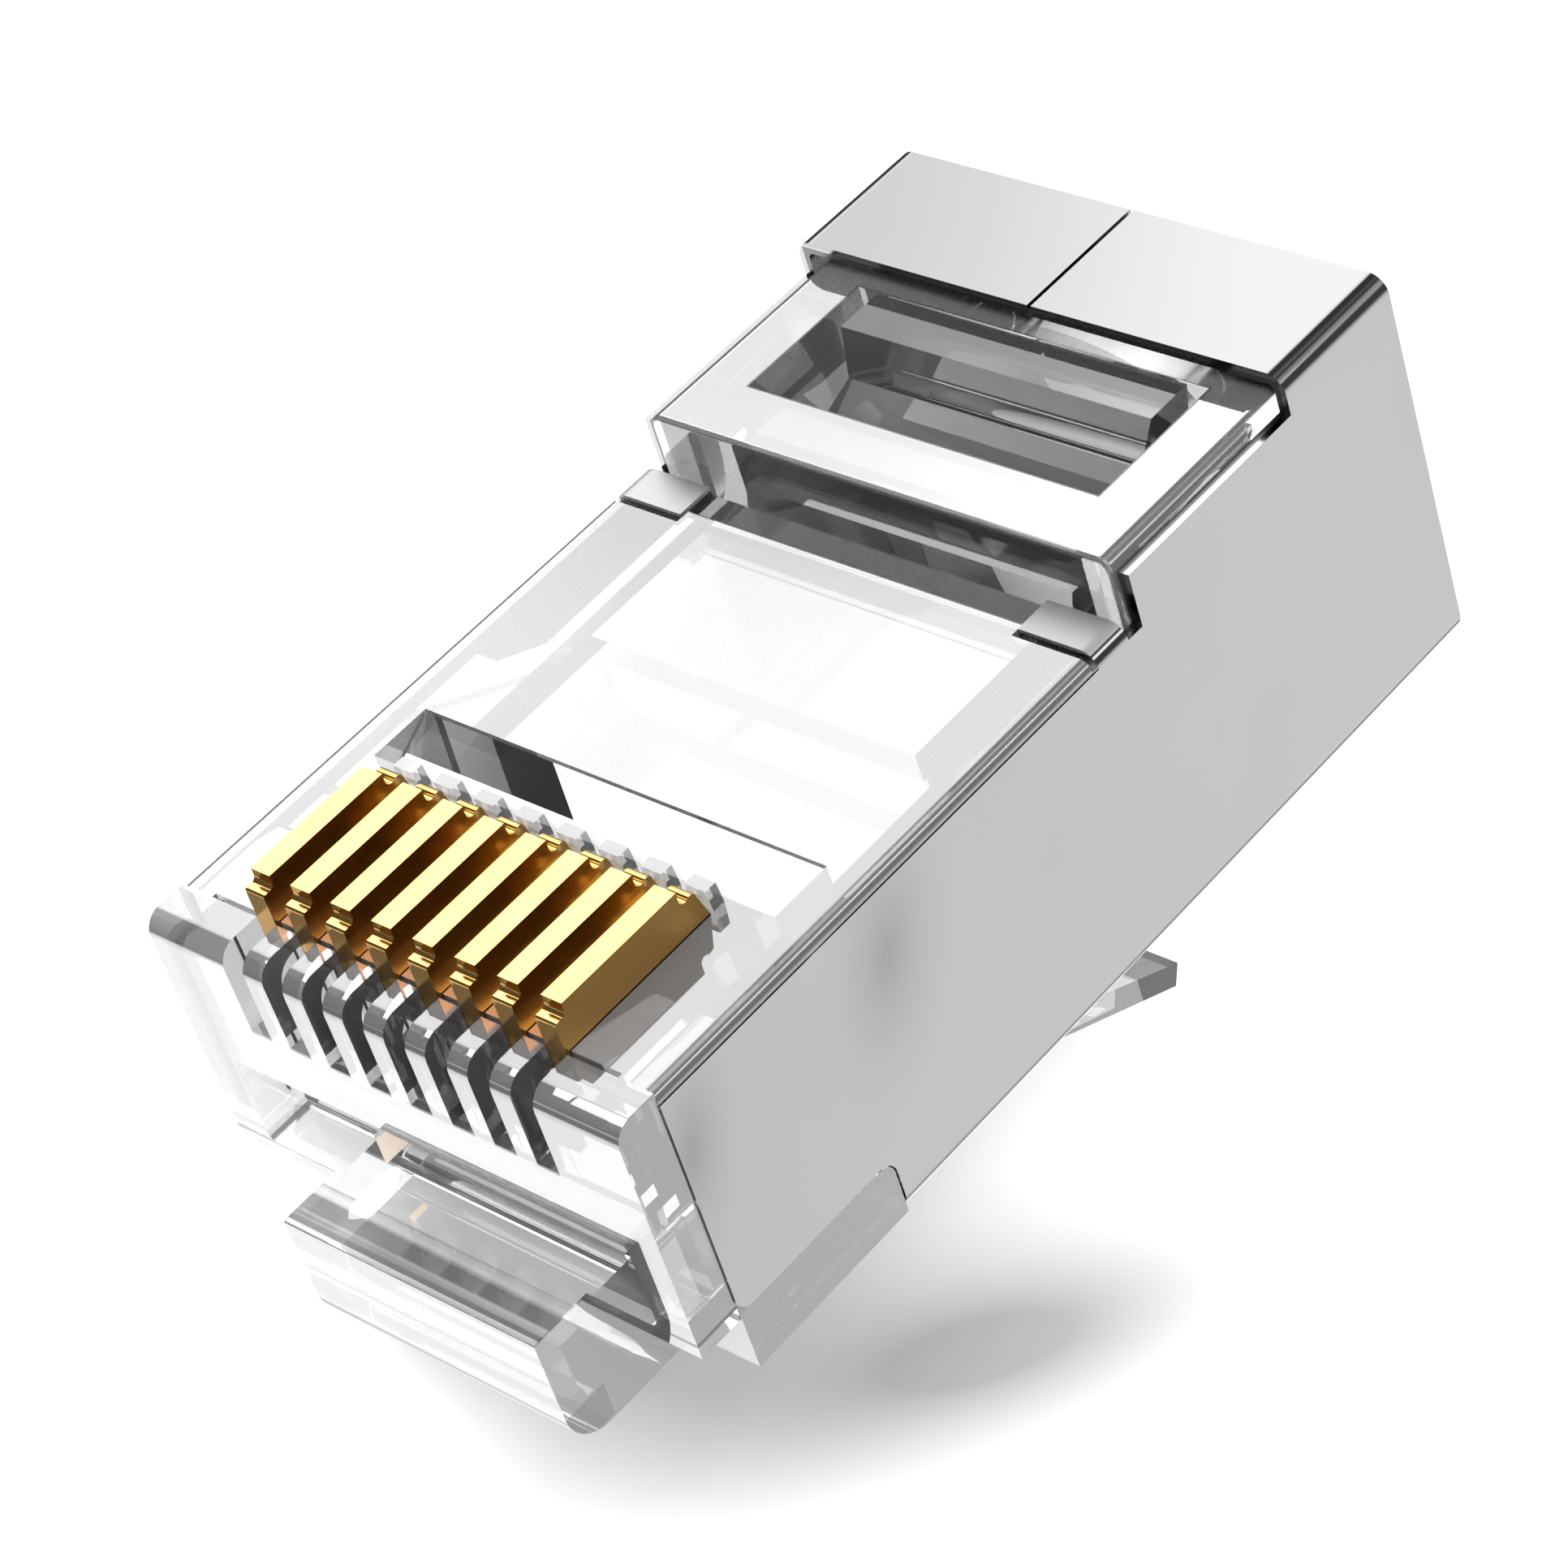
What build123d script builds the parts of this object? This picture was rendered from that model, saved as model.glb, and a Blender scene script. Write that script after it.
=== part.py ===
"""Shielded eight-way modular plug, before it is crimped onto a cable.

The plug lies on one of its flat sides. In the row frame +X points to the nose,
-Y to the side with the contacts, +Y to the side with the latch, +Z up.
Profiles are drawn in the plug's own coordinates: x forward, y across, z from
the latch side (0) to the contact side. side(), top() and front() place them.
"""
import math
import os

from build123d import *

# ---------------------------------------------------------------- dimensions
WIDTH = 11.68            # over the side plates
HALF = WIDTH / 2
X_REAR = -20.79          # rear edge of the shield
X_NOSE = 1.00            # nose front face
X_ROOT = 2.35            # front of the latch root

# moulded body
BODY_HALF = 5.56         # inside the shield
BODY_BOTTOM = 0.28
BASE_BOTTOM = 0.03       # front foot, flush with the shield
DECK = 6.61              # contact side of the body
BLOCK_TOP = 7.755        # raised rear block
BODY_REAR = -20.25
BLOCK_FRONT = -12.77
DECK_REAR = -11.86
TRENCH = 6.16            # floor of the groove between deck and block
FLANGE_HALF = 5.80
FLANGE_BOTTOM = 1.20
FLANGE_R = 0.42
LIP_BOTTOM = 6.35
LIP_R = 0.24
RAIL_TOP = 1.29
RAIL_REAR = -4.02

# nose pocket
POCKET_HALF = 4.90
POCKET_BOTTOM, POCKET_TOP = 1.50, 3.54
POCKET_BACK = -0.30

# latch root and lever
ROOT_HALF = 3.165
ROOT_TOP = 1.50
ROOT_BOTTOM = -1.25
ROOT_REAR = -0.75
PIVOT = (-0.75, -0.55)   # x, z of the bending line
KNUCKLE_R = 0.50
KNUCKLE_GAP = 0.03
BEND = (-6.50, -1.95)
TIP = (-15.20, -5.92)
SHOULDER_X = -6.60
LEVER_HALF = 1.625
ROOT_T, BEND_T, TIP_T = 0.80, 0.66, 0.50

# contacts
COUNT = 8
PITCH = 1.02
BLADE_T = 0.48
SLOT_W = 0.52
BLADE_TOP = 7.54
SLOT_REAR, SLOT_FRONT = -3.72, 0.03
NUB_TOP = 7.08
GROOVE_X, GROOVE_TOP, GROOVE_END = 0.50, 6.10, 4.74

# wire slot and cable cavity
WIRE_BOTTOM, WIRE_TOP = 3.20, 4.30
WIRE_HALF = 4.15
WIRE_FRONT = -0.78
CAVITY_FRONT = -8.73
CAVITY_HALF = 3.95
CAVITY_BOTTOM = 0.85
CAVITY_TOP = 5.50
CAVITY_TOP_REAR = 6.20
CAVITY_STEP = -13.30
CAVITY_REAR = -17.90
BORE_Z, BORE_R = 4.00, 3.20

# conductor anchor and its window
ANCHOR_X0, ANCHOR_X1 = -5.45, -4.08
ANCHOR_HALF = 4.90
ANCHOR_LOW_HALF = 4.15
ANCHOR_LEDGE = 4.85
ANCHOR_TRAVEL = 0.70

# strain relief bar and its window
WINDOW_X0, WINDOW_X1 = -17.45, -14.20
WINDOW_HALF = 4.22
BAR_PIVOT = (-17.45, 6.10)
BAR_R = 0.28

# shield
SHEET = 0.25
BAND_TOP = 8.31
BAND_FRONT = -17.65
STEP_X = -12.90
STEP_TOP = 7.47
SIDE_TOP = 6.32
NOTCH_X, NOTCH_TOP = -4.06, 1.32
FOLD_R = 0.40
TAB_X0, TAB_X1 = -12.50, -11.65
TAB_IN = 4.10
TAB_TOP = 6.66
SEAM = 0.09
LATCH_OPEN_X, LATCH_OPEN_HALF = -16.60, 3.90

# lever outline, from its centre line and its thickness
A1 = math.atan2(PIVOT[1] - BEND[1], PIVOT[0] - BEND[0])
A2 = math.atan2(BEND[1] - TIP[1], BEND[0] - TIP[0])


def off(point, angle, d):
    """The point moved by d across a run that falls away at this angle."""
    return (point[0] - d * math.sin(angle), point[1] + d * math.cos(angle))


TIP_LOW = off(TIP, A2, -TIP_T / 2)
Z_LOW = TIP_LOW[1]

# the row's origin is under the middle of the whole plug
CX = (X_REAR + X_ROOT) / 2
CZ = (BAND_TOP + Z_LOW) / 2


def side(y=0.0):
    """Profile plane: local x forward, local y towards the contact side."""
    return Plane(origin=(-CX, CZ, HALF + y), x_dir=(1, 0, 0), z_dir=(0, 0, -1))


def top(z):
    """Plan plane: local x forward, local y across, normal to the contact side."""
    return Plane(origin=(-CX, CZ - z, HALF), x_dir=(1, 0, 0), z_dir=(0, -1, 0))


def front(x):
    """Section plane: local x across, local y to the contact side, normal to the nose."""
    return Plane(origin=(x - CX, CZ, HALF), x_dir=(0, 0, 1), z_dir=(1, 0, 0))


def near(shape_list, x=None, y=None, z=None, tol=0.02):
    """Edges or vertices whose centre has these plug coordinates."""
    out = []
    for e in shape_list:
        c = e.center()
        px, py, pz = c.X + CX, c.Z - HALF, CZ - c.Y
        if (x is None or abs(px - x) < tol) and (y is None or abs(abs(py) - y) < tol) and (
            z is None or abs(pz - z) < tol
        ):
            out.append(e)
    return ShapeList(out)


SLOT_Y = [(i - (COUNT - 1) / 2) * PITCH for i in range(COUNT)]

os.makedirs("parts", exist_ok=True)

# ---------------------------------------------------------------- moulded body
with BuildPart() as plug_body:
    # core inside the shield: deck, groove and raised rear block
    with BuildSketch(side()):
        with BuildLine():
            Polyline(
                (BODY_REAR, BODY_BOTTOM), (-0.1, BODY_BOTTOM), (-0.1, DECK), (DECK_REAR, DECK), (DECK_REAR, TRENCH),
                (BLOCK_FRONT, TRENCH), (BLOCK_FRONT, BLOCK_TOP), (BODY_REAR, BLOCK_TOP), close=True,
            )
        make_face()
    extrude(amount=BODY_HALF, both=True)
    fillet(near(plug_body.edges().filter_by(Axis.X), y=BODY_HALF, z=BODY_BOTTOM), 0.22)
    fillet(near(plug_body.edges().filter_by(Axis.X), y=BODY_HALF, z=BLOCK_TOP), 0.30)
    fillet(near(plug_body.edges().filter_by(Axis.Z), x=BLOCK_FRONT, z=BLOCK_TOP), 0.10)
    fillet(near(plug_body.edges().filter_by(Axis.Z), x=DECK_REAR, z=DECK), 0.06)

    # foot in the shield's notch, flush with the side plates
    with BuildSketch(side()):
        with BuildLine():
            Polyline((RAIL_REAR, BASE_BOTTOM), (0.0, BASE_BOTTOM), (0.0, RAIL_TOP), (RAIL_REAR, RAIL_TOP), close=True)
        make_face()
    extrude(amount=HALF - 0.01, both=True)
    fillet(near(plug_body.edges().filter_by(Axis.Z), x=RAIL_REAR, z=RAIL_TOP, y=(HALF - 0.01 + BODY_HALF) / 2, tol=0.08), 0.30)

    # nose flange with its rounded front edge
    with BuildSketch(side()):
        with BuildLine():
            Polyline((0.0, FLANGE_BOTTOM), (X_NOSE, FLANGE_BOTTOM), (X_NOSE, DECK), (0.0, DECK), close=True)
        make_face()
    extrude(amount=FLANGE_HALF, both=True)
    fillet(near(plug_body.edges().filter_by(Axis.Z), x=X_NOSE, z=DECK), FLANGE_R)

    # lips along the deck that cover the top edges of the side plates
    for s in (-1, 1):
        with BuildSketch(front(0.0)):
            with BuildLine():
                Line((s * 5.0, LIP_BOTTOM), (s * (HALF - 0.01), LIP_BOTTOM))
                Line((s * (HALF - 0.01), LIP_BOTTOM), (s * (HALF - 0.01), DECK - LIP_R))
                RadiusArc((s * (HALF - 0.01), DECK - LIP_R), (s * (HALF - 0.01 - LIP_R), DECK), -s * LIP_R)
                Line((s * (HALF - 0.01 - LIP_R), DECK), (s * 5.0, DECK))
                Line((s * 5.0, DECK), (s * 5.0, LIP_BOTTOM))
            make_face()
        extrude(amount=TAB_X1)

    # latch root
    with BuildSketch(side()):
        with BuildLine():
            Polyline((ROOT_REAR, ROOT_BOTTOM), (X_ROOT, ROOT_BOTTOM), (X_ROOT, ROOT_TOP), (ROOT_REAR, ROOT_TOP), close=True)
        make_face()
    extrude(amount=ROOT_HALF, both=True)
    fillet(near(plug_body.edges().filter_by(Axis.Z), x=X_ROOT, z=ROOT_BOTTOM), 0.85)
    fillet(near(plug_body.edges().filter_by(Axis.Z), x=X_ROOT, z=ROOT_TOP), 0.06)
    with BuildSketch(side()):
        with Locations(PIVOT):
            Circle(KNUCKLE_R + KNUCKLE_GAP)
    extrude(amount=ROOT_HALF + 0.5, both=True, mode=Mode.SUBTRACT)

    # pocket cored out of the nose
    with BuildSketch(front(X_NOSE + 0.2)):
        with Locations((0, (POCKET_BOTTOM + POCKET_TOP) / 2)):
            RectangleRounded(2 * POCKET_HALF, POCKET_TOP - POCKET_BOTTOM, 0.22)
    extrude(amount=POCKET_BACK - X_NOSE - 0.2, mode=Mode.SUBTRACT)

    # slots for the contacts, with their grooves down the nose
    for y in SLOT_Y:
        with BuildSketch(side(y)):
            with BuildLine():
                Polyline(
                    (1.20, GROOVE_END), (1.20, 7.00), (SLOT_REAR, 7.00), (SLOT_REAR, WIRE_TOP - 0.1),
                    (SLOT_FRONT, WIRE_TOP - 0.1), (SLOT_FRONT, GROOVE_TOP),
                )
                TangentArc((SLOT_FRONT, GROOVE_TOP), (GROOVE_X, GROOVE_TOP - GROOVE_X + SLOT_FRONT), tangent=(1, 0))
                Polyline((GROOVE_X, GROOVE_TOP - GROOVE_X + SLOT_FRONT), (GROOVE_X, GROOVE_END), (1.20, GROOVE_END))
            make_face()
        extrude(amount=SLOT_W / 2, both=True, mode=Mode.SUBTRACT)

    # stops behind the contacts
    for y in SLOT_Y:
        with BuildSketch(side(y)):
            with BuildLine():
                Polyline((-4.02, DECK - 0.2), (-3.74, DECK - 0.2), (-3.70, NUB_TOP), (-3.96, NUB_TOP), close=True)
            make_face()
        extrude(amount=0.25, both=True)

    # slot for the conductors, with low ridges between them under the contacts
    with BuildSketch(front(CAVITY_FRONT - 0.1)):
        with Locations((0, (WIRE_BOTTOM + WIRE_TOP) / 2)):
            Rectangle(2 * WIRE_HALF, WIRE_TOP - WIRE_BOTTOM)
    extrude(amount=WIRE_FRONT - CAVITY_FRONT + 0.1, mode=Mode.SUBTRACT)
    for y in SLOT_Y[1:]:
        with BuildSketch(front(SLOT_REAR)):
            with BuildLine():
                c = y - PITCH / 2
                Polyline(
                    (c - 0.10, WIRE_BOTTOM - 0.05), (c + 0.10, WIRE_BOTTOM - 0.05), (c + 0.08, WIRE_BOTTOM),
                    (c, WIRE_BOTTOM + 0.30), (c - 0.08, WIRE_BOTTOM), close=True,
                )
            make_face()
        extrude(amount=WIRE_FRONT + 0.05 - SLOT_REAR)

    # cable cavity, its lead-in to the conductors and the round cable entry
    with BuildSketch(side()):
        with BuildLine():
            Polyline(
                (CAVITY_REAR, CAVITY_BOTTOM), (CAVITY_FRONT - 1.2, CAVITY_BOTTOM), (CAVITY_FRONT, 1.90),
                (CAVITY_FRONT, CAVITY_TOP), (CAVITY_STEP, CAVITY_TOP), (CAVITY_STEP - 0.5, CAVITY_TOP_REAR),
                (CAVITY_REAR, CAVITY_TOP_REAR), close=True,
            )
        make_face()
    extrude(amount=CAVITY_HALF, both=True, mode=Mode.SUBTRACT)
    with BuildSketch(front(BODY_REAR - 0.2)):
        with Locations((0, BORE_Z)):
            Circle(BORE_R)
    extrude(amount=CAVITY_REAR - BODY_REAR + 0.5, mode=Mode.SUBTRACT)

    # window of the strain relief bar
    with BuildSketch(top(CAVITY_TOP_REAR - 0.6)):
        with Locations(((WINDOW_X0 + WINDOW_X1) / 2, 0)):
            Rectangle(WINDOW_X1 - WINDOW_X0, 2 * WINDOW_HALF)
    extrude(amount=4, mode=Mode.SUBTRACT)
    with BuildSketch(side()):
        with Locations(BAR_PIVOT):
            Circle(BAR_R + KNUCKLE_GAP)
    extrude(amount=WINDOW_HALF, both=True, mode=Mode.SUBTRACT)

    # window of the conductor anchor, narrower where it reaches the conductors
    with BuildSketch(top(ANCHOR_LEDGE)):
        with Locations(((ANCHOR_X0 + ANCHOR_X1) / 2, 0)):
            Rectangle(ANCHOR_X1 - ANCHOR_X0, 2 * ANCHOR_HALF)
    extrude(amount=4, mode=Mode.SUBTRACT)
    with BuildSketch(top(WIRE_TOP - 0.1)):
        with Locations(((ANCHOR_X0 + ANCHOR_X1) / 2, 0)):
            Rectangle(ANCHOR_X1 - ANCHOR_X0, 2 * ANCHOR_LOW_HALF)
    extrude(amount=2, mode=Mode.SUBTRACT)

    # rebates that the folded tabs lie in
    for s in (-1, 1):
        with BuildSketch(top(TAB_TOP - SHEET - 0.03)):
            with Locations(((DECK_REAR + TAB_X1) / 2, s * (TAB_IN - 0.04 + 1.5))):
                Rectangle(TAB_X1 - DECK_REAR + 0.30, 3.0)
        extrude(amount=2, mode=Mode.SUBTRACT)
plug_body.part.label = "plug_body"
export_step(plug_body.part, "parts/plug_body.step")

# ---------------------------------------------------------------- latch lever
with BuildPart() as latch_lever:
    with BuildSketch(side()):
        with BuildLine():
            Polyline(
                off(PIVOT, A1, ROOT_T / 2), off(BEND, (A1 + A2) / 2, BEND_T / 2), off(TIP, A2, TIP_T / 2),
                TIP_LOW, off(BEND, (A1 + A2) / 2, -BEND_T / 2), off(PIVOT, A1, -ROOT_T / 2), close=True,
            )
        make_face()
        with Locations(PIVOT):
            Circle(KNUCKLE_R)
    extrude(amount=ROOT_HALF, both=True)
    # narrow grip behind the locking shoulders
    for s in (-1, 1):
        with BuildSketch(top(-9.0)):
            with Locations((SHOULDER_X - 5.5, s * (LEVER_HALF + 1.5))):
                Rectangle(11.0, 3.0)
        extrude(amount=12, mode=Mode.SUBTRACT)
latch_lever.part.label = "latch_lever"
export_step(latch_lever.part, "parts/latch_lever.step")

# ---------------------------------------------------------------- strain relief bar
with BuildPart() as strain_relief_bar:
    bx, bz = BAR_PIVOT
    with BuildSketch(side()):
        with BuildLine():
            Polyline(
                (bx + 0.03, BLOCK_TOP - 0.02), (-16.35, BLOCK_TOP - 0.02), (-16.00, 6.83), (-14.70, 6.46),
                (-14.62, 6.22), (-16.60, 5.82), (bx, bz - BAR_R), (bx + 0.03, bz), close=True,
            )
        make_face()
        with Locations(BAR_PIVOT):
            Circle(BAR_R)
    extrude(amount=3.74, both=True)
    with BuildSketch(front(-18.5)):
        with BuildLine():
            Polyline((-3.74, BLOCK_TOP), (3.74, BLOCK_TOP), (3.30, 5.70), (-3.30, 5.70), close=True)
        make_face()
    extrude(amount=5.0, mode=Mode.INTERSECT)
strain_relief_bar.part.label = "strain_relief_bar"
export_step(strain_relief_bar.part, "parts/strain_relief_bar.step")

# ---------------------------------------------------------------- conductor anchor
with BuildPart() as conductor_anchor:
    ax0, ax1 = ANCHOR_X0 + 0.04, ANCHOR_X1 - 0.04
    with BuildSketch(side()):
        with BuildLine():
            Polyline((ax0, 5.60), (ax1, 5.60), (ax1, 5.86), (ax0, DECK - 0.05), close=True)
        make_face()
    extrude(amount=ANCHOR_HALF - 0.04, both=True)
    with BuildSketch(side()):
        with BuildLine():
            Polyline((ax0, 5.80), (ax0, 4.75), (ax0 + 0.35, 4.42), (ax1 - 0.35, 4.42), (ax1, 4.75), (ax1, 5.80), close=True)
        make_face()
    extrude(amount=ANCHOR_LOW_HALF - 0.05, both=True)
conductor_anchor.part.label = "conductor_anchor"
export_step(conductor_anchor.part, "parts/conductor_anchor.step")

# ---------------------------------------------------------------- contacts
for n, y in enumerate(SLOT_Y, 1):
    with BuildPart() as contact:
        with BuildSketch(side(y)):
            with BuildLine():
                Line((-3.13, BLADE_TOP), (-0.27, BLADE_TOP))
                Line((-0.27, BLADE_TOP), (-0.27, 7.38))
                RadiusArc((-0.27, 7.38), (-0.17, 7.28), -0.10)
                Line((-0.17, 7.28), (-0.05, 7.28))
                RadiusArc((-0.05, 7.28), (0.0, 7.23), 0.05)
                Polyline(
                    (0.0, 7.23), (0.0, 6.02), (-0.30, 5.90), (-0.95, 5.90), (-1.05, 5.20), (-1.20, 4.86),
                    (-1.35, 5.20), (-1.45, 5.90), (-2.20, 5.90), (-2.30, 5.20), (-2.45, 4.86), (-2.60, 5.20),
                    (-2.70, 5.90), (-3.40, 5.90), (-3.66, 6.20), (-3.66, 6.62), (-3.50, 7.16),
                )
                RadiusArc((-3.50, 7.16), (-3.42, 7.26), 0.09)
                RadiusArc((-3.42, 7.26), (-3.30, 7.24), 0.12)
                RadiusArc((-3.30, 7.24), (-3.13, 7.36), -0.12)
                Line((-3.13, 7.36), (-3.13, BLADE_TOP))
            make_face()
        extrude(amount=BLADE_T / 2, both=True)
    contact.part.label = f"contact_{n}"
    export_step(contact.part, f"parts/contact_{n}.step")

# ---------------------------------------------------------------- shield
with BuildPart() as shield:
    # sheet folded round all four sides
    with BuildSketch(front(X_REAR)):
        with Locations((0, BAND_TOP / 2)):
            RectangleRounded(WIDTH, BAND_TOP, FOLD_R)
            RectangleRounded(WIDTH - 2 * SHEET, BAND_TOP - 2 * SHEET, FOLD_R - SHEET, mode=Mode.SUBTRACT)
    extrude(amount=-X_REAR)
    # the outline of its sides: notch, front edge, step and rear band
    with BuildSketch(side()) as outline:
        with BuildLine():
            Polyline(
                (X_REAR, 0), (NOTCH_X, 0), (NOTCH_X, NOTCH_TOP), (0, NOTCH_TOP), (0, SIDE_TOP), (STEP_X, SIDE_TOP),
                (STEP_X, STEP_TOP), (BAND_FRONT, STEP_TOP), (BAND_FRONT, BAND_TOP), (X_REAR, BAND_TOP), close=True,
            )
        make_face()
        corners = outline.vertices()

        def corner(x, z):
            return min(corners, key=lambda v: abs(v.X - x) + abs(v.Y - z))

        fillet([corner(NOTCH_X, NOTCH_TOP), corner(0, NOTCH_TOP)], 0.35)
    extrude(amount=HALF + 0.1, both=True, mode=Mode.INTERSECT)
    # opening under the latch, as far back as the rear band
    with BuildSketch(top(-0.5)):
        with Locations(((LATCH_OPEN_X + 1.0) / 2, 0)):
            RectangleRounded(1.0 - LATCH_OPEN_X, 2 * LATCH_OPEN_HALF, 0.8)
    extrude(amount=1.0, mode=Mode.SUBTRACT)
    # tabs folded onto the deck
    for s in (-1, 1):
        with BuildSketch(front(TAB_X0)):
            with BuildLine():
                FilletPolyline((s * HALF, 6.10), (s * HALF, TAB_TOP), (s * TAB_IN, TAB_TOP), radius=0.34)
                Line((s * TAB_IN, TAB_TOP), (s * TAB_IN, TAB_TOP - SHEET))
                FilletPolyline(
                    (s * TAB_IN, TAB_TOP - SHEET), (s * (HALF - SHEET), TAB_TOP - SHEET), (s * (HALF - SHEET), 6.10),
                    radius=0.09,
                )
                Line((s * (HALF - SHEET), 6.10), (s * HALF, 6.10))
            make_face()
        extrude(amount=TAB_X1 - TAB_X0)
    # seam where the two ends of the sheet meet
    with BuildSketch(top(BAND_TOP - 0.6)):
        with Locations(((X_REAR + BAND_FRONT) / 2, 0)):
            Rectangle(BAND_FRONT - X_REAR + 1, SEAM)
    extrude(amount=1.0, mode=Mode.SUBTRACT)
shield.part.label = "shield"
export_step(shield.part, "parts/shield.step")

print("origin offset CX, CZ:", round(CX, 4), round(CZ, 4), "lowest z", round(Z_LOW, 4))
print("run angles", round(math.degrees(A1), 2), round(math.degrees(A2), 2))
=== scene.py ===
import math

import bpy
from mathutils import Matrix, Vector

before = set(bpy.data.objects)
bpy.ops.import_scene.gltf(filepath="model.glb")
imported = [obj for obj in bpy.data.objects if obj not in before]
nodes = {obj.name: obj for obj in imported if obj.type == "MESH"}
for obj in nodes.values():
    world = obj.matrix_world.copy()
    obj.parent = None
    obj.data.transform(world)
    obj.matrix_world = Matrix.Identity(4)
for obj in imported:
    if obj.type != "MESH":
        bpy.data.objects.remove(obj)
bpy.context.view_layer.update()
scene = bpy.context.scene

# ------------------------------------------------------------------ camera
IMAGE = 1932.0
cam_data = bpy.data.cameras.new("camera")
cam_data.sensor_width = 36.0
cam_data.lens = 6026.19 / IMAGE * 36.0
cam_data.clip_start = 0.001
cam_data.clip_end = 5.0
cam_data.dof.use_dof = False
cam = bpy.data.objects.new("camera", cam_data)
scene.collection.objects.link(cam)
right = Vector((-0.63575, 0.25447, 0.72875)).normalized()
up = Vector((-0.61374, -0.73921, -0.27729)).normalized()
back = right.cross(up).normalized()
up = back.cross(right).normalized()
cam.matrix_world = Matrix((
    (right.x, up.x, back.x, 0.041581),
    (right.y, up.y, back.y, -0.057598),
    (right.z, up.z, back.z, 0.060929),
    (0, 0, 0, 1),
))
scene.camera = cam


# ------------------------------------------------------------------ node helpers
def new_material(name):
    m = bpy.data.materials.new(name)
    m.use_nodes = True
    nt = m.node_tree
    bsdf = next(n for n in nt.nodes if n.type == "BSDF_PRINCIPLED")
    return m, nt, bsdf


def add(nt, kind, **values):
    n = nt.nodes.new(kind)
    for k, v in values.items():
        if hasattr(n, k):
            setattr(n, k, v)
        else:
            n.inputs[k.replace("_", " ")].default_value = v
    return n


def object_coords(nt, scale):
    """Object coordinates in millimetres, stretched by scale."""
    tc = nt.nodes.new("ShaderNodeTexCoord")
    mp = nt.nodes.new("ShaderNodeMapping")
    mp.inputs["Scale"].default_value = [1000.0 * s for s in scale]
    nt.links.new(tc.outputs["Object"], mp.inputs["Vector"])
    return mp


def noise(nt, mp, scale, detail=3.0, rough=0.5):
    n = nt.nodes.new("ShaderNodeTexNoise")
    n.inputs["Scale"].default_value = scale
    n.inputs["Detail"].default_value = detail
    n.inputs["Roughness"].default_value = rough
    nt.links.new(mp.outputs["Vector"], n.inputs["Vector"])
    return n


def spread(nt, source, low, high, from_low=0.0, from_high=1.0):
    r = nt.nodes.new("ShaderNodeMapRange")
    r.inputs["From Min"].default_value = from_low
    r.inputs["From Max"].default_value = from_high
    r.inputs["To Min"].default_value = low
    r.inputs["To Max"].default_value = high
    nt.links.new(source, r.inputs["Value"])
    return r.outputs["Result"]


def bump(nt, height, strength, distance, normal=None):
    b = nt.nodes.new("ShaderNodeBump")
    b.inputs["Strength"].default_value = strength
    b.inputs["Distance"].default_value = distance
    nt.links.new(height, b.inputs["Height"])
    if normal:
        nt.links.new(normal, b.inputs["Normal"])
    return b.outputs["Normal"]


def between(nt, source, low, high):
    """1 where the value lies between low and high, else 0."""
    above = add(nt, "ShaderNodeMath", operation="GREATER_THAN")
    nt.links.new(source, above.inputs[0])
    above.inputs[1].default_value = low
    below = add(nt, "ShaderNodeMath", operation="LESS_THAN")
    nt.links.new(source, below.inputs[0])
    below.inputs[1].default_value = high
    both = add(nt, "ShaderNodeMath", operation="MULTIPLY")
    nt.links.new(above.outputs[0], both.inputs[0])
    nt.links.new(below.outputs[0], both.inputs[1])
    return both.outputs[0]


def both(nt, first, *others):
    """Product of masks."""
    for other in others:
        m = add(nt, "ShaderNodeMath", operation="MULTIPLY")
        nt.links.new(first, m.inputs[0])
        nt.links.new(other, m.inputs[1])
        first = m.outputs[0]
    return first


def blend(nt, factor, source, colour):
    """The source colour where the factor is 0, the given colour where it is 1."""
    m = nt.nodes.new("ShaderNodeMix")
    m.data_type = "RGBA"
    nt.links.new(factor, m.inputs["Factor"])
    if isinstance(source, tuple):
        m.inputs[6].default_value = source
    else:
        nt.links.new(source, m.inputs[6])
    m.inputs[7].default_value = colour
    return m.outputs[2]


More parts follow.
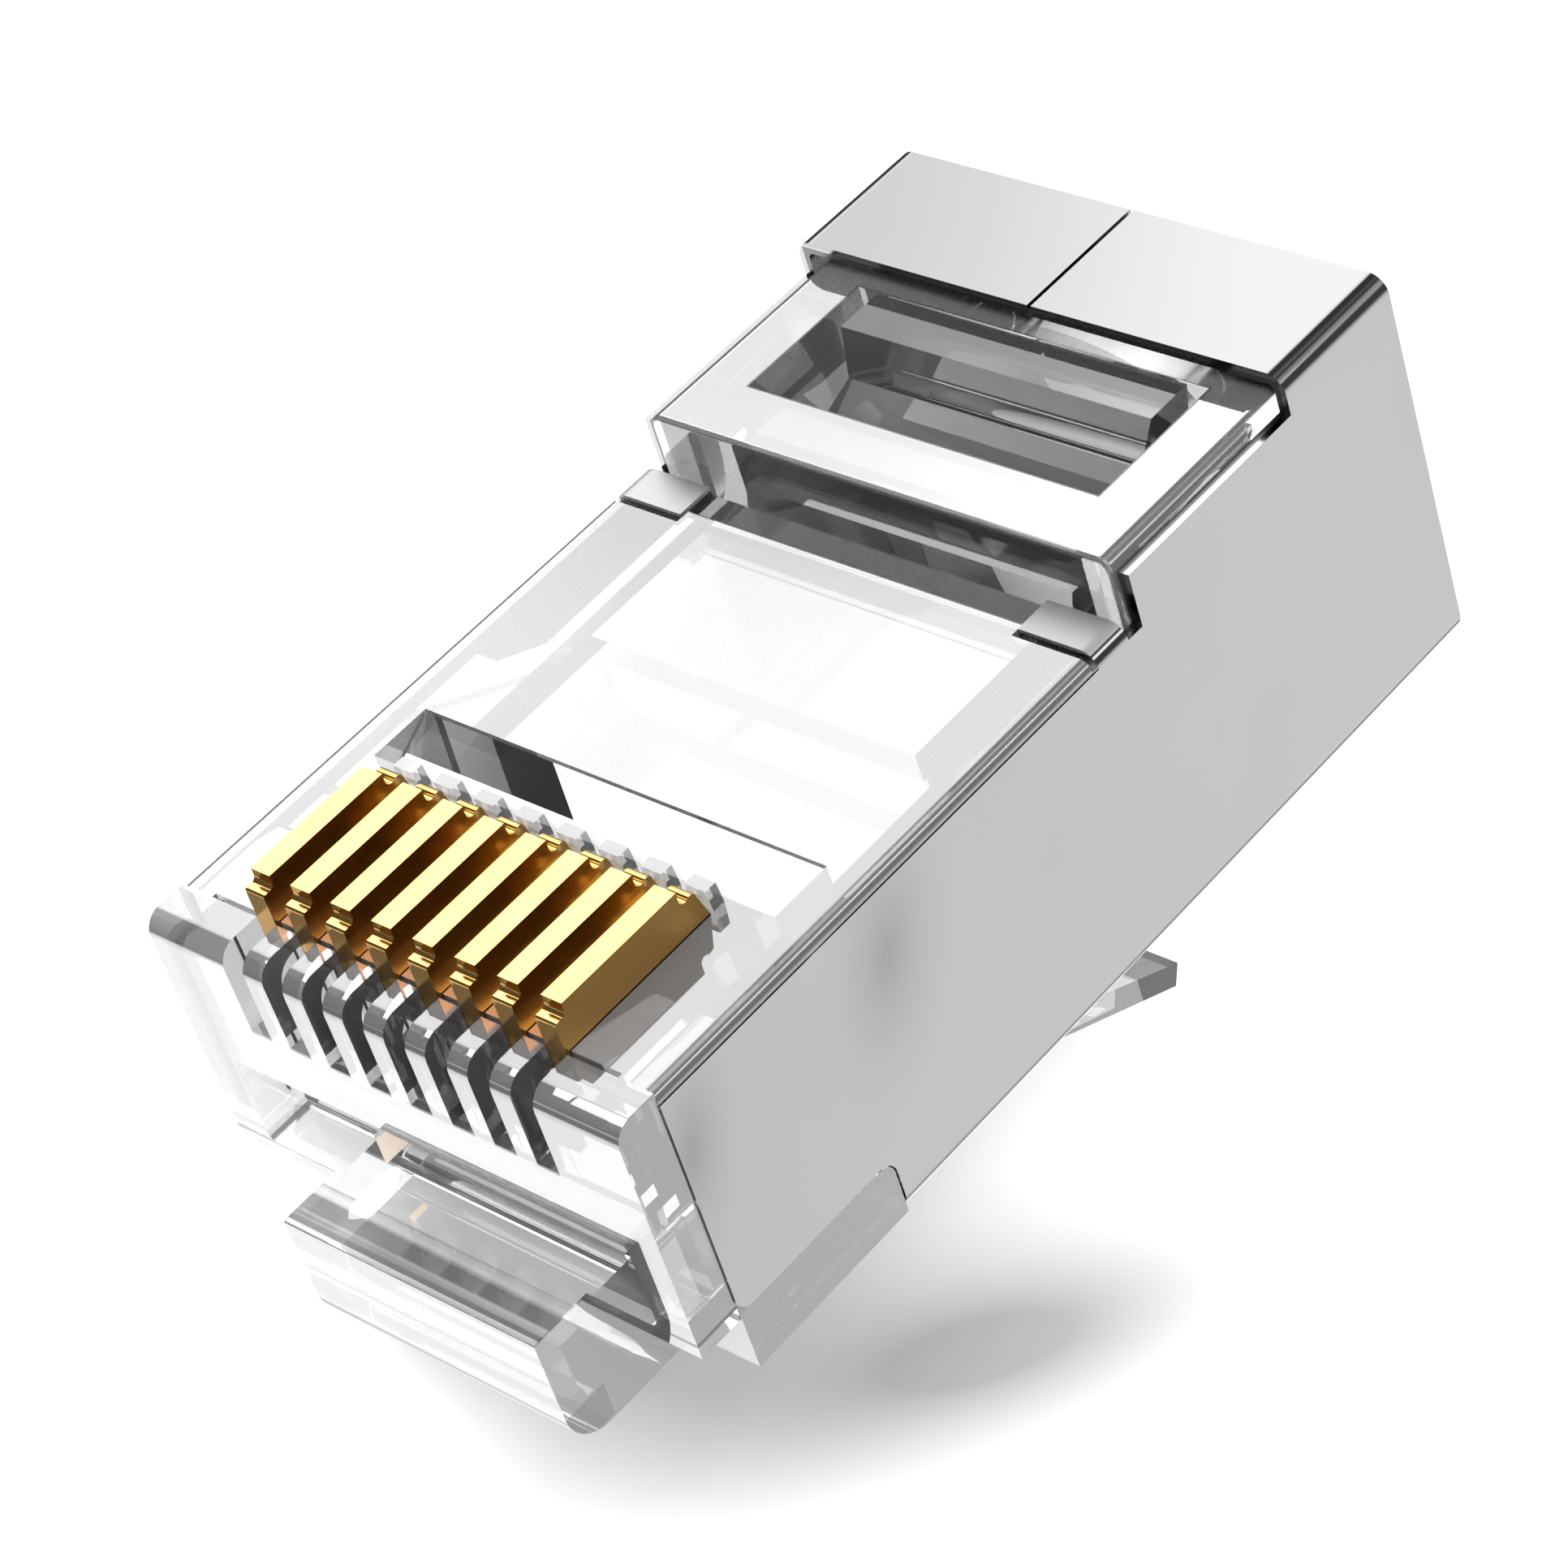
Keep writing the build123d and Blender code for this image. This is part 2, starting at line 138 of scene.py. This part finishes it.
# ------------------------------------------------------------------ clear moulded plastic
def clear_plastic(name, transmission=0.94, painted_dark_end=False):
    m, nt, b = new_material(name)
    b.inputs["Transmission Weight"].default_value = transmission
    b.inputs["IOR"].default_value = 1.46
    b.inputs["Coat Weight"].default_value = 1.0
    b.inputs["Coat Roughness"].default_value = 0.0
    mp = object_coords(nt, (1, 1, 1))
    # polished mould: nearly mirror smooth, with slight flow in places
    flow = noise(nt, mp, 0.35, 2.0)
    nt.links.new(spread(nt, flow.outputs["Fac"], 0.0, 0.006, 0.5, 0.8), b.inputs["Roughness"])
    fine = noise(nt, mp, 0.8, 2.0)
    nt.links.new(bump(nt, fine.outputs["Fac"], 0.01, 0.000002), b.inputs["Normal"])
    place = nt.nodes.new("ShaderNodeSeparateXYZ")
    nt.links.new(mp.outputs["Vector"], place.inputs[0])
    # painted shade: the walls of the cable cavity and the groove, and the window, are coloured dark grey; these
    # walls also get less coat, as does the top of the latch root
    walls = both(nt, between(nt, place.outputs["X"], -8.80, -2.70), between(nt, place.outputs["Y"], -6.62, 0.90),
                 between(nt, place.outputs["Z"], 0.60, 11.08))
    window = both(nt, between(nt, place.outputs["X"], -8.26, -4.95), between(nt, place.outputs["Z"], 1.58, 10.10))
    cavity = add(nt, "ShaderNodeMath", operation="MAXIMUM")
    nt.links.new(walls, cavity.inputs[0])
    nt.links.new(window, cavity.inputs[1])
    # painted shade also darkens the grooves down the nose, one every 1.02 mm, which get less coat too, and the
    # rounding under the latch root
    across = add(nt, "ShaderNodeMath", operation="MULTIPLY_ADD")
    nt.links.new(place.outputs["Z"], across.inputs[0])
    across.inputs[1].default_value = 1 / 1.02
    across.inputs[2].default_value = -5.84 / 1.02
    part = add(nt, "ShaderNodeMath", operation="FRACT")
    nt.links.new(across.outputs[0], part.inputs[0])
    grooves = both(nt, between(nt, part.outputs[0], 0.238, 0.762), between(nt, place.outputs["X"], 9.22, 10.30),
                   between(nt, place.outputs["Y"], -5.60, -3.60), between(nt, place.outputs["Z"], 1.9, 9.8))
    below = both(nt, between(nt, place.outputs["X"], 10.60, 11.70), between(nt, place.outputs["Y"], 1.50, 2.27))
    # painted shade: cavity and window walls dark grey, grooves grey, the rounding under the latch root darker
    colour = blend(nt, cavity.outputs[0], (0.975, 0.978, 0.985, 1), (0.30, 0.30, 0.306, 1))
    colour = blend(nt, grooves, colour, (0.40, 0.40, 0.405, 1))
    colour = blend(nt, below, colour, (0.22, 0.22, 0.225, 1))
    # painted shade: dark stripes along the front of the latch root's top, standing in for the refracted rounding
    # below it
    top = between(nt, place.outputs["Y"], -0.46, -0.38)
    lines = noise(nt, object_coords(nt, (3.2, 3.2, 0.03)), 1.0, 2.0)
    front = both(nt, top, between(nt, place.outputs["X"], 10.55, 11.46), spread(nt, lines.outputs["Fac"], 0.0, 1.0, 0.42, 0.60))
    colour = blend(nt, front, colour, (0.16, 0.16, 0.163, 1))
    if painted_dark_end:
        # painted shade: one end of the anchor is coloured dark, in three slanting facets, standing in for dark
        # reflections in those facets
        slant = add(nt, "ShaderNodeMath", operation="MULTIPLY_ADD")
        nt.links.new(place.outputs["X"], slant.inputs[0])
        slant.inputs[1].default_value = -1.45
        nt.links.new(place.outputs["Z"], slant.inputs[2])
        low = both(nt, between(nt, place.outputs["X"], 3.0, 4.52), between(nt, place.outputs["Y"], -5.60, -4.98))
        for limits, shade in (((-9.0, -1.30), 0.012), ((-4.14, -2.85), 0.13), ((-9.0, -4.34), 0.07)):
            colour = blend(nt, both(nt, low, between(nt, slant.outputs[0], *limits)), colour, (shade, shade, shade * 1.02, 1))
    nt.links.new(colour, b.inputs["Base Color"])
    block = both(nt, between(nt, place.outputs["Y"], -6.70, -6.64), spread(nt, cavity.outputs[0], 1.0, 0.0))
    nt.links.new(spread(nt, block, 2.3, 2.9), b.inputs["Coat IOR"])
    deck = between(nt, place.outputs["Y"], -5.56, -5.50)
    nt.links.new(both(nt, spread(nt, top, 1.0, 0.1), spread(nt, cavity.outputs[0], 1.0, 0.25), spread(nt, deck, 1.0, 0.82),
                      spread(nt, grooves, 1.0, 0.3)),
                 b.inputs["Coat Weight"])
    # lamps reach the floor through the thin side that the plug lies on
    path = nt.nodes.new("ShaderNodeLightPath")
    clear = nt.nodes.new("ShaderNodeBsdfTransparent")
    nt.links.new(spread(nt, place.outputs["Z"], 0.9, 0.0, 2.5, 4.0), clear.inputs["Color"])
    mix = nt.nodes.new("ShaderNodeMixShader")
    out = next(n for n in nt.nodes if n.type == "OUTPUT_MATERIAL")
    nt.links.new(path.outputs["Is Shadow Ray"], mix.inputs[0])
    nt.links.new(b.outputs[0], mix.inputs[1])
    nt.links.new(clear.outputs[0], mix.inputs[2])
    nt.links.new(mix.outputs[0], out.inputs["Surface"])
    return m


# ------------------------------------------------------------------ satin nickel plate
def satin_nickel(name):
    m, nt, b = new_material(name)
    b.inputs["Metallic"].default_value = 1.0
    mp = object_coords(nt, (1, 1, 1))
    cloud = noise(nt, mp, 0.22, 3.0)
    ramp = nt.nodes.new("ShaderNodeValToRGB")
    ramp.color_ramp.elements[0].color = (0.355, 0.355, 0.359, 1)
    ramp.color_ramp.elements[1].color = (0.385, 0.385, 0.388, 1)
    nt.links.new(cloud.outputs["Fac"], ramp.inputs["Fac"])
    # bright outside; painted shade darkens the inside, which is also rougher (below); a painted highlight makes
    # the folded tabs palest
    place = nt.nodes.new("ShaderNodeSeparateXYZ")
    nt.links.new(mp.outputs["Vector"], place.inputs[0])
    inside = both(nt, between(nt, place.outputs["Z"], 0.13, 11.55), between(nt, place.outputs["Y"], -7.10, 0.95))
    band = between(nt, place.outputs["Y"], -7.30, -7.14)
    tab = both(nt, between(nt, place.outputs["X"], -3.35, -2.35), between(nt, place.outputs["Y"], -5.70, -5.50))
    tone_and_painted_shading = blend(nt, inside, ramp.outputs["Color"], (0.16, 0.16, 0.163, 1))
    # painted shade: slightly darker in two places near the nose, standing in for darker reflections
    for spot, size in (((3.85, -4.00), (2.0, 3.6)), ((8.95, -3.95), (1.4, 3.0))):
        smp = object_coords(nt, (1, 1, 0))
        smp.vector_type = "TEXTURE"
        smp.inputs["Location"].default_value = (spot[0] / 1000, spot[1] / 1000, 0)
        smp.inputs["Rotation"].default_value = (0, 0, math.radians(-20))
        smp.inputs["Scale"].default_value = (size[0] / 1000, size[1] / 1000, 1)
        painted_dark_patch = nt.nodes.new("ShaderNodeTexGradient")
        painted_dark_patch.gradient_type = "QUADRATIC_SPHERE"
        nt.links.new(smp.outputs["Vector"], painted_dark_patch.inputs["Vector"])
        tone_and_painted_shading = blend(nt, spread(nt, painted_dark_patch.outputs["Fac"], 0.0, 1.0, 0.0, 0.9), tone_and_painted_shading, (0.265, 0.265, 0.268, 1))
    # painted shade: the band is coloured darker than the rest of the outside
    tone_and_painted_shading = blend(nt, band, tone_and_painted_shading, (0.29, 0.29, 0.293, 1))
    # painted highlight: the folded tabs are coloured pale
    tone_and_painted_shading = blend(nt, tab, tone_and_painted_shading, (0.72, 0.72, 0.725, 1))
    nt.links.new(tone_and_painted_shading, b.inputs["Base Color"])
    # rolled grain along the length of the sheet
    mp2 = object_coords(nt, (0.25, 6, 6))
    grain = noise(nt, mp2, 3.0, 4.0, 0.6)
    sheen = spread(nt, grain.outputs["Fac"], 0.09, 0.15)
    soft = add(nt, "ShaderNodeMath", operation="MULTIPLY_ADD")
    nt.links.new(tab, soft.inputs[0])
    soft.inputs[1].default_value = 0.28
    nt.links.new(sheen, soft.inputs[2])
    # dull inside
    matt = add(nt, "ShaderNodeMath", operation="MULTIPLY_ADD")
    nt.links.new(inside, matt.inputs[0])
    matt.inputs[1].default_value = 0.15
    nt.links.new(soft.outputs[0], matt.inputs[2])
    nt.links.new(matt.outputs[0], b.inputs["Roughness"])
    relief = both(nt, grain.outputs["Fac"], spread(nt, inside, 1.0, 0.0))
    nt.links.new(bump(nt, relief, 0.03, 0.000003), b.inputs["Normal"])
    return m


# ------------------------------------------------------------------ gold plate
def gold_plate(name):
    m, nt, b = new_material(name)
    b.inputs["Metallic"].default_value = 1.0
    mp = object_coords(nt, (1, 1, 1))
    cloud = noise(nt, mp, 1.2, 2.0)
    ramp = nt.nodes.new("ShaderNodeValToRGB")
    ramp.color_ramp.elements[0].color = (0.98, 0.56, 0.16, 1)
    ramp.color_ramp.elements[1].color = (0.99, 0.60, 0.20, 1)
    nt.links.new(cloud.outputs["Fac"], ramp.inputs["Fac"])
    nt.links.new(ramp.outputs["Color"], b.inputs["Base Color"])
    mp2 = object_coords(nt, (8, 1, 1))
    grain = noise(nt, mp2, 3.0, 3.0)
    nt.links.new(spread(nt, grain.outputs["Fac"], 0.10, 0.18), b.inputs["Roughness"])
    nt.links.new(bump(nt, grain.outputs["Fac"], 0.05, 0.000003), b.inputs["Normal"])
    return m


def dress(names, material):
    for n in names:
        o = nodes[n]
        o.data.materials.clear()
        o.data.materials.append(material)


plastic = clear_plastic("clear_plastic")
dress(["plug_body", "latch_lever", "strain_relief_bar"], plastic)
dress(["conductor_anchor"], clear_plastic("milky_plastic", 0.58, painted_dark_end=True))
dress(["shield"], satin_nickel("satin_nickel"))
dress([f"contact_{i}" for i in range(1, 9)], gold_plate("gold_plate"))

# ------------------------------------------------------------------ floor
fm, fnt, fb = new_material("floor")
# white, with a painted soft shadow in front of the nose
ftc = fnt.nodes.new("ShaderNodeTexCoord")
fmp = fnt.nodes.new("ShaderNodeMapping")
fmp.vector_type = "TEXTURE"
fmp.inputs["Location"].default_value = (-0.0040, 0.0200, 0)
fmp.inputs["Rotation"].default_value = (0, 0, math.radians(144))
fmp.inputs["Scale"].default_value = (0.0300, 0.0072, 1)
fnt.links.new(ftc.outputs["Object"], fmp.inputs["Vector"])
shade = fnt.nodes.new("ShaderNodeTexGradient")
shade.gradient_type = "QUADRATIC_SPHERE"
fnt.links.new(fmp.outputs["Vector"], shade.inputs["Vector"])
fnt.links.new(blend(fnt, spread(fnt, shade.outputs["Fac"], 0.0, 1.0, 0.0, 0.8), (0.93, 0.93, 0.93, 1), (0.33, 0.33, 0.33, 1)),
              fb.inputs["Base Color"])
fb.inputs["Roughness"].default_value = 0.9
fb.inputs["Specular IOR Level"].default_value = 0.0
bpy.ops.mesh.primitive_plane_add(size=4.0, location=(0, 0, 0))
floor = bpy.context.object
floor.name = "floor"
floor.data.materials.append(fm)
# reflections show the tent below the horizon instead
floor.visible_glossy = False

# ------------------------------------------------------------------ light
# a tent of soft light: dim overhead, grey behind the plug, brighter towards the key
world = bpy.data.worlds.new("studio")
scene.world = world
world.use_nodes = True
wnt = world.node_tree
bg = next(n for n in wnt.nodes if n.type == "BACKGROUND")
wtc = wnt.nodes.new("ShaderNodeTexCoord")
WORLD_BASE = 0.10


def patch(total, direction, inner, outer, value):
    """Adds light of this value round a direction, fading between two angles in degrees."""
    d = Vector(direction).normalized()
    dot = wnt.nodes.new("ShaderNodeVectorMath")
    dot.operation = "DOT_PRODUCT"
    wnt.links.new(wtc.outputs["Generated"], dot.inputs[0])
    dot.inputs[1].default_value = d
    r = wnt.nodes.new("ShaderNodeMapRange")
    r.interpolation_type = "SMOOTHSTEP"
    r.inputs["From Min"].default_value = math.cos(math.radians(outer))
    r.inputs["From Max"].default_value = math.cos(math.radians(inner))
    r.inputs["To Min"].default_value = 0.0
    r.inputs["To Max"].default_value = value
    wnt.links.new(dot.outputs["Value"], r.inputs["Value"])
    s = wnt.nodes.new("ShaderNodeMath")
    s.operation = "ADD"
    if total is None:
        s.inputs[0].default_value = WORLD_BASE
    else:
        wnt.links.new(total, s.inputs[0])
    wnt.links.new(r.outputs["Result"], s.inputs[1])
    return s.outputs["Value"]


light = patch(None, (-0.640, 0.600, 0.480), 10, 36, 1.38)
light = patch(light, (0.10, -0.75, 0.60), 12, 30, 1.5)
light = patch(light, (0.30, -0.90, 0.20), 6, 18, 0.8)
light = patch(light, (0.90, 0.30, 0.30), 8, 30, 0.7)
# below the horizon: what the deck, the front faces and the rounding between them reflect
light = patch(light, (-0.468, -0.624, -0.626), 12, 24, 3.0)
light = patch(light, (0.468, 0.624, -0.626), 12, 24, 2.0)
light = patch(light, (0.778, -0.038, -0.626), 1.5, 4.5, 0.9)
light = patch(light, (-0.537, -0.517, -0.681), 1, 7, -1.1)
# the bright line in the folds of the sheet
light = patch(light, (-0.468, -0.455, 0.757), 4, 9, 2.6)
# soft panels for the other sides: overhead, behind, both ends and below them
light = patch(light, (0.10, 0.95, 0.28), 8, 28, 1.2)
light = patch(light, (-0.94, 0.00, 0.34), 10, 30, 1.1)
light = patch(light, (-0.75, -0.45, 0.50), 4, 18, 0.9)
light = patch(light, (0.25, 0.00, 0.97), 10, 30, 0.8)
light = patch(light, (0.95, 0.00, -0.30), 4, 14, 1.0)
light = patch(light, (-0.10, 0.94, -0.32), 14, 34, 1.2)
light = patch(light, (-0.35, -0.90, 0.26), 6, 18, 0.9)
light = patch(light, (-0.60, 0.60, -0.50), 10, 25, 1.1)
light = patch(light, (-0.95, 0.00, -0.30), 8, 22, 1.1)
light = patch(light, (-0.05, -0.96, -0.27), 4, 14, 1.2)
wnt.links.new(light, bg.inputs["Strength"])
bg.inputs["Color"].default_value = (1.0, 1.0, 1.0, 1)


def softbox(name, place, target, size, power):
    d = bpy.data.lights.new(name, "AREA")
    d.shape = "RECTANGLE"
    d.size, d.size_y = size
    d.energy = power
    o = bpy.data.objects.new(name, d)
    scene.collection.objects.link(o)
    o.location = place
    o.rotation_euler = (Vector(target) - Vector(place)).to_track_quat("-Z", "Y").to_euler()
    return o


key = softbox("key", (0.150, -0.330, 0.214), (0, 0, 0.0), (0.15, 0.15), 4.7)
key.visible_glossy = False
key.visible_transmission = False
# lifts the shadow on the floor behind the plug
lift_data = bpy.data.lights.new("lift", "SPOT")
lift_data.energy = 0.10
lift_data.spot_size = math.radians(30)
lift_data.spot_blend = 1.0
lift_data.shadow_soft_size = 0.01
lift = bpy.data.objects.new("lift", lift_data)
scene.collection.objects.link(lift)
lift.location = (-0.026, 0.050, 0.060)
lift.rotation_euler = (Vector((-0.016, 0.0175, 0)) - Vector(lift.location)).to_track_quat("-Z", "Y").to_euler()
lift.visible_glossy = False
lift.visible_transmission = False

scene.view_settings.view_transform = "Standard"
scene.view_settings.look = "None"
scene.cycles.max_bounces = 4
scene.cycles.transmission_bounces = 4
scene.cycles.glossy_bounces = 3
scene.cycles.diffuse_bounces = 3
scene.cycles.sample_clamp_indirect = 4.0
scene.cycles.blur_glossy = 0.2
scene.cycles.caustics_refractive = False
